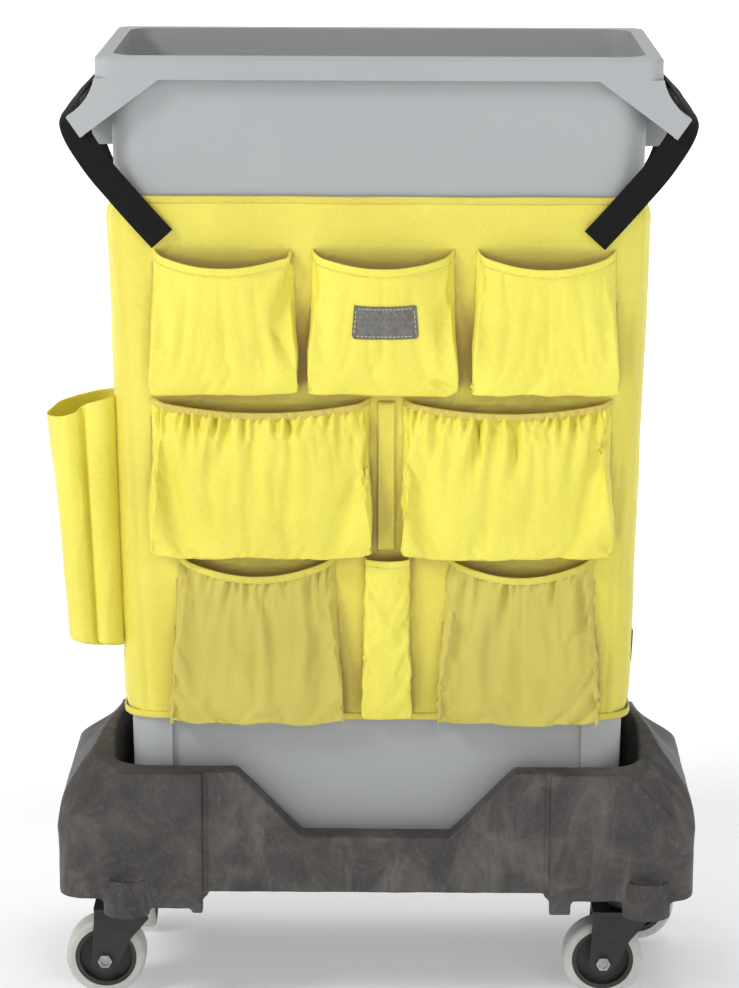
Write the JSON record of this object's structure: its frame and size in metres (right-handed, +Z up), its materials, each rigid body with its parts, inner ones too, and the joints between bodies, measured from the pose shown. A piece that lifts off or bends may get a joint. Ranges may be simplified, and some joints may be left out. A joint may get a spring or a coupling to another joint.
{
  "type": "cleaning caddy",
  "caption": "Slim waste container with end handles in a pocketed fabric caddy bag, standing in a resin dolly on swivel casters.",
  "frame": {"origin": "on the floor, under the middle of the container and dolly", "axes": "+X to the right seen from the pockets, +Y to the back, +Z up; the long side with the pockets faces -Y"},
  "size_m": [0.602, 0.32, 0.908],
  "materials": {
    "bin_plastic": "satin moulded polyethylene, fine grain",
    "dolly_resin": "mottled dark resin with light flow marks",
    "bag_cloth": "coated polyester, low sheen",
    "bag_mesh": "knitted mesh over cloth",
    "bag_binding": "woven edge binding",
    "elastic": "gathered casing over elastic",
    "webbing": "ribbed polypropylene webbing",
    "patch": "plain woven patch with a stitched edge",
    "caster_steel": "black painted pressed steel",
    "fastener": "zinc plated",
    "wheel_core": "black moulded core",
    "tread": "light grey non-marking rubber"
  },
  "bodies": {
    "dolly": {"dolly_frame": "dolly_resin", "caster_front_left_top_plate": "caster_steel", "caster_front_left_plate_screws": "fastener", "caster_front_left_kingpin": "fastener", "caster_front_right_top_plate": "caster_steel", "caster_front_right_plate_screws": "fastener", "caster_front_right_kingpin": "fastener", "caster_rear_left_top_plate": "caster_steel", "caster_rear_left_plate_screws": "fastener", "caster_rear_left_kingpin": "fastener", "caster_rear_right_top_plate": "caster_steel", "caster_rear_right_plate_screws": "fastener", "caster_rear_right_kingpin": "fastener"},
    "fork_front_left": {"caster_front_left_fork": "caster_steel", "caster_front_left_axle_bolt": "fastener", "caster_front_left_axle_nut": "fastener"},
    "wheel_front_left": {"caster_front_left_wheel_core": "wheel_core", "caster_front_left_tread": "tread"},
    "fork_front_right": {"caster_front_right_fork": "caster_steel", "caster_front_right_axle_bolt": "fastener", "caster_front_right_axle_nut": "fastener"},
    "wheel_front_right": {"caster_front_right_wheel_core": "wheel_core", "caster_front_right_tread": "tread"},
    "fork_rear_left": {"caster_rear_left_fork": "caster_steel", "caster_rear_left_axle_bolt": "fastener", "caster_rear_left_axle_nut": "fastener"},
    "wheel_rear_left": {"caster_rear_left_wheel_core": "wheel_core", "caster_rear_left_tread": "tread"},
    "fork_rear_right": {"caster_rear_right_fork": "caster_steel", "caster_rear_right_axle_bolt": "fastener", "caster_rear_right_axle_nut": "fastener"},
    "wheel_rear_right": {"caster_rear_right_wheel_core": "wheel_core", "caster_rear_right_tread": "tread"},
    "bin": {"bin_tub": "bin_plastic", "bag_front_panel": "bag_cloth", "bag_back_panel": "bag_cloth", "bag_left_panel": "bag_cloth", "bag_right_panel": "bag_cloth", "bag_top_binding": "bag_binding", "bag_bottom_binding": "bag_binding", "pocket_top_left": "bag_cloth", "pocket_top_centre": "bag_cloth", "pocket_top_right": "bag_cloth", "pocket_middle_left": "bag_cloth", "pocket_middle_right": "bag_cloth", "elastic_middle_left": "elastic", "elastic_middle_right": "elastic", "mesh_pocket_left": "bag_mesh", "mesh_pocket_right": "bag_mesh", "mesh_binding_left": "bag_binding", "mesh_binding_right": "bag_binding", "narrow_pocket": "bag_cloth", "centre_strip": "bag_cloth", "side_pouch": "bag_cloth", "badge_patch": "patch", "pull_tab": "webbing", "strap_left": "webbing", "strap_right": "webbing"}
  },
  "joints": [
    {"name": "swivel_front_left", "type": "hinge", "parent": "dolly", "child": "fork_front_left", "pos_m": [-0.239, -0.076, 0.087], "axis": [0, 0, 1], "continuous": true},
    {"name": "roll_front_left", "type": "hinge", "parent": "fork_front_left", "child": "wheel_front_left", "pos_m": [-0.26, -0.076, 0.0381], "axis": [0, 1, 0], "continuous": true},
    {"name": "swivel_front_right", "type": "hinge", "parent": "dolly", "child": "fork_front_right", "pos_m": [0.239, -0.076, 0.087], "axis": [0, 0, 1], "continuous": true},
    {"name": "roll_front_right", "type": "hinge", "parent": "fork_front_right", "child": "wheel_front_right", "pos_m": [0.218, -0.076, 0.0381], "axis": [0, 1, 0], "continuous": true},
    {"name": "swivel_rear_left", "type": "hinge", "parent": "dolly", "child": "fork_rear_left", "pos_m": [-0.239, 0.076, 0.087], "axis": [0, 0, 1], "continuous": true},
    {"name": "roll_rear_left", "type": "hinge", "parent": "fork_rear_left", "child": "wheel_rear_left", "pos_m": [-0.239, 0.097, 0.0381], "axis": [1, 0, 0], "continuous": true},
    {"name": "swivel_rear_right", "type": "hinge", "parent": "dolly", "child": "fork_rear_right", "pos_m": [0.239, 0.076, 0.087], "axis": [0, 0, 1], "continuous": true},
    {"name": "roll_rear_right", "type": "hinge", "parent": "fork_rear_right", "child": "wheel_rear_right", "pos_m": [0.26, 0.076, 0.0381], "axis": [0, 1, 0], "continuous": true},
    {"name": "bin_lift", "type": "slide", "parent": "dolly", "child": "bin", "axis": [0, 0, 1], "range_m": [0, 0.25]}
  ]
}
